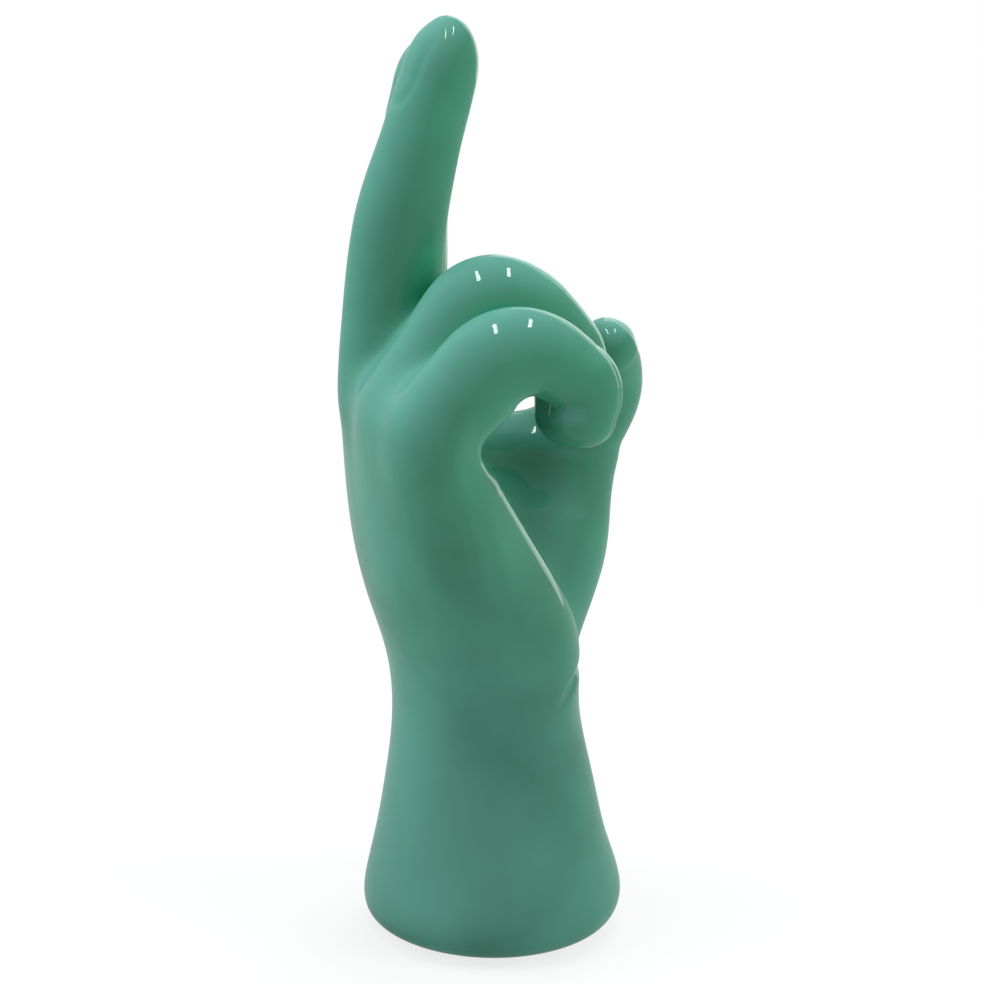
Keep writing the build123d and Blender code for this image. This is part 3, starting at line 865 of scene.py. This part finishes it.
def felt_piece():
    """A felt oval with a soft cut edge, in the space of its solid."""
    low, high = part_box("felt_pad")
    thickness = high.z - low.z
    coords, faces = [], []
    for level in (0, 1):
        coords += felt_layer(level, high.x, high.y, low.z, thickness)
    layer = FELT_AROUND * FELT_RINGS
    edge = layer - FELT_AROUND
    for level in (0, 1):
        centre = len(coords)
        coords.append((0, 0, low.z + thickness * level))
        for j in range(FELT_AROUND):
            k = (j + 1) % FELT_AROUND
            fan = (centre, level * layer + j, level * layer + k)
            faces.append(fan if level else fan[::-1])
            for i in range(FELT_RINGS - 1):
                a = level * layer + i * FELT_AROUND
                quad = (a + j, a + FELT_AROUND + j, a + FELT_AROUND + k, a + k)
                faces.append(quad if level else quad[::-1])
    for j in range(FELT_AROUND):
        k = (j + 1) % FELT_AROUND
        faces.append((edge + j, edge + k, layer + edge + k, layer + edge + j))
    mesh = bpy.data.meshes.new("felt_pad_nap")
    mesh.from_pydata(coords, [], faces)
    mesh.polygons.foreach_set("use_smooth", [True] * len(mesh.polygons))
    return add_object("felt_pad_nap", mesh)


def build_hand():
    """The glazed castings, cut from one skin."""
    skin = Skin()
    polygons, added = cut_into_pieces(skin)
    verts = blend_rows(skin.verts, added)
    normals = unit(blend_rows(skin.normals, added))
    tints = {"pool": blend_rows(skin.pool, added), "light_facing": blend_rows(skin.light_facing, added)}
    material = glaze_material()
    for owner, node in enumerate(["hand_body", *DIGITS]):
        piece = hollow_piece(node + "_skin", polygons[owner], verts, normals, tints)
        dress(piece, node, material)


def build_underside():
    """The base slab, which is its solid, and the felt under it."""
    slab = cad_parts["base_slab"]
    slab.data.materials.clear()
    slab.data.materials.append(bisque_material())
    felt = felt_piece()
    dress(felt, "felt_pad", felt_material())


def white_to_camera(tree):
    """1 for rays that show the background itself or its mirror image."""
    rays = add_node(tree, "ShaderNodeLightPath").outputs
    shown = rays["Is Camera Ray"]
    for kind in ("Is Glossy Ray", "Is Transmission Ray"):
        shown = add_node(tree, "ShaderNodeMath", {0: shown, 1: rays[kind]}, operation="MAXIMUM").outputs[0]
    return shown


# The floor, in metres: half its side, its colour, and the distances from the middle between which its share
# of plain white goes from near to far. The rest shows its shading.
FLOOR_HALF_SIDE = 6.0
FLOOR_GREY = (0.9, 0.9, 0.9, 1)
FLOOR_WHITE_SPAN = (0.05, 0.5)
FLOOR_WHITE_NEAR = 0.78
FLOOR_WHITE_FAR = 1.0


def build_floor():
    """A wide pale floor that keeps a soft shadow round the foot."""
    mesh = bpy.data.meshes.new("floor")
    corners = [(-1, -1), (1, -1), (1, 1), (-1, 1)]
    mesh.from_pydata([(FLOOR_HALF_SIDE * x, FLOOR_HALF_SIDE * y, 0) for x, y in corners], [], [(0, 1, 2, 3)])
    floor = add_object("floor", mesh)
    material, tree, shader = new_material("floor")
    shader.inputs["Base Color"].default_value = FLOOR_GREY
    shader.inputs["Roughness"].default_value = 0.9
    place = add_node(tree, "ShaderNodeTexCoord").outputs["Object"]
    off = add_node(tree, "ShaderNodeVectorMath", {0: place}, operation="LENGTH").outputs["Value"]
    whiteness = span(tree, off, *FLOOR_WHITE_SPAN, FLOOR_WHITE_NEAR, FLOOR_WHITE_FAR, "SMOOTHSTEP")
    share = times(tree, whiteness, white_to_camera(tree))
    white = add_node(tree, "ShaderNodeEmission", {"Color": WHITE, "Strength": 1.0})
    both = add_node(tree, "ShaderNodeMixShader", {0: share, 1: shader.outputs[0], 2: white.outputs[0]})
    tree.links.new(both.outputs[0], tree.nodes["Material Output"].inputs["Surface"])
    mesh.materials.append(material)


# Camera, in degrees, metres and pixels: where it looks from and at, the image's side, what a pixel covers
# at the target, the pixel on which the target falls, and the sensor's width in millimetres
VIEW_AZIMUTH = -15.0
VIEW_ELEVATION = 14.5
VIEW_ROLL = 0.4
VIEW_DISTANCE = 0.760
VIEW_TARGET = Vector((0, 0, 0.122))
IMAGE_SIDE = 984
PIXEL = 0.0002688
TARGET_PIXEL = (493.3, 494.0)
SENSOR = 36.0


def build_camera():
    """A camera that looks at the target, which falls on its pixel of the image."""
    turn, rise, roll = (math.radians(angle) for angle in (VIEW_AZIMUTH, VIEW_ELEVATION, VIEW_ROLL))
    back = Vector((math.sin(turn) * math.cos(rise), -math.cos(turn) * math.cos(rise), math.sin(rise)))
    level = Vector((math.cos(turn), math.sin(turn), 0))
    upward = back.cross(level)
    right = level * math.cos(roll) + upward * math.sin(roll)
    up = upward * math.cos(roll) - level * math.sin(roll)
    across = (TARGET_PIXEL[0] - IMAGE_SIDE / 2) * PIXEL
    down = (TARGET_PIXEL[1] - IMAGE_SIDE / 2) * PIXEL
    place = VIEW_TARGET + back * VIEW_DISTANCE - right * across + up * down
    data = bpy.data.cameras.new("camera")
    data.sensor_width = SENSOR
    data.lens = SENSOR * VIEW_DISTANCE / (PIXEL * IMAGE_SIDE)
    data.clip_start = 0.01
    camera = add_object("camera", data)
    rotation = Matrix((right, up, back)).transposed()
    camera.matrix_world = Matrix.Translation(place) @ rotation.to_4x4()
    bpy.context.scene.camera = camera


def add_lamp(name, place, size, power, colour, lights=True, mirrored=False, long_axis=(0, 0, 1)):
    """An area lamp aimed at the hand, that lights it, shows in its glaze or does both."""
    data = bpy.data.lights.new(name, "AREA")
    data.shape = "RECTANGLE"
    data.size, data.size_y = size
    data.energy = power
    data.color = colour
    lamp = add_object(name, data)
    back = (Vector(place) - VIEW_TARGET).normalized()
    up = (Vector(long_axis) - back * back.dot(Vector(long_axis))).normalized()
    rotation = Matrix((up.cross(back), up, back)).transposed()
    lamp.matrix_world = Matrix.Translation(place) @ rotation.to_4x4()
    lamp.visible_diffuse = lights
    lamp.visible_glossy = mirrored
    lamp.visible_camera = False


# Light, in metres and watts: the fill from all round, lamp colours, and the two strips
WORLD_FILL = 0.20
DAYLIGHT = (0.90, 0.95, 1.0)
NEUTRAL = (1.0, 1.0, 1.0)
STRIPS = {"strip_left": (-0.14, -0.36, 1.05), "strip_right": (0.36, -0.28, 1.05)}
STRIP_SIZE = (0.055, 0.46)
STRIP_POWER = 3.8
STRIP_AXIS = (0, 1, 0)


def build_light():
    """Large soft screens at the left, right and overhead, one behind at the right that also shows
    in the glaze, and two narrow strips overhead that only show in it."""
    add_lamp("left", (-0.95, 0.05, 0.60), (1.0, 1.0), 7.8, DAYLIGHT)
    add_lamp("right", (0.85, -0.50, 0.50), (0.7, 0.7), 6.4, NEUTRAL)
    add_lamp("right_rim", (0.62, 0.80, 0.40), (0.8, 0.9), 6.6, NEUTRAL, mirrored=True)
    add_lamp("top", (0.0, 0.1, 1.25), (1.0, 1.0), 9.6, DAYLIGHT)
    for name, place in STRIPS.items():
        add_lamp(name, place, STRIP_SIZE, STRIP_POWER, NEUTRAL, False, True, STRIP_AXIS)
    world = bpy.data.worlds.new("studio")
    bpy.context.scene.world = world
    world.use_nodes = True
    tree = world.node_tree
    tree.nodes.clear()
    fill = add_node(tree, "ShaderNodeBackground", {"Color": WHITE, "Strength": WORLD_FILL})
    white = add_node(tree, "ShaderNodeBackground", {"Color": WHITE, "Strength": 1.0})
    shown = white_to_camera(tree)
    both = add_node(tree, "ShaderNodeMixShader", {0: shown, 1: fill.outputs[0], 2: white.outputs[0]})
    add_node(tree, "ShaderNodeOutputWorld", {"Surface": both.outputs[0]})


build_hand()
build_underside()
build_floor()
build_camera()
build_light()

bpy.context.scene.view_settings.view_transform = "Standard"
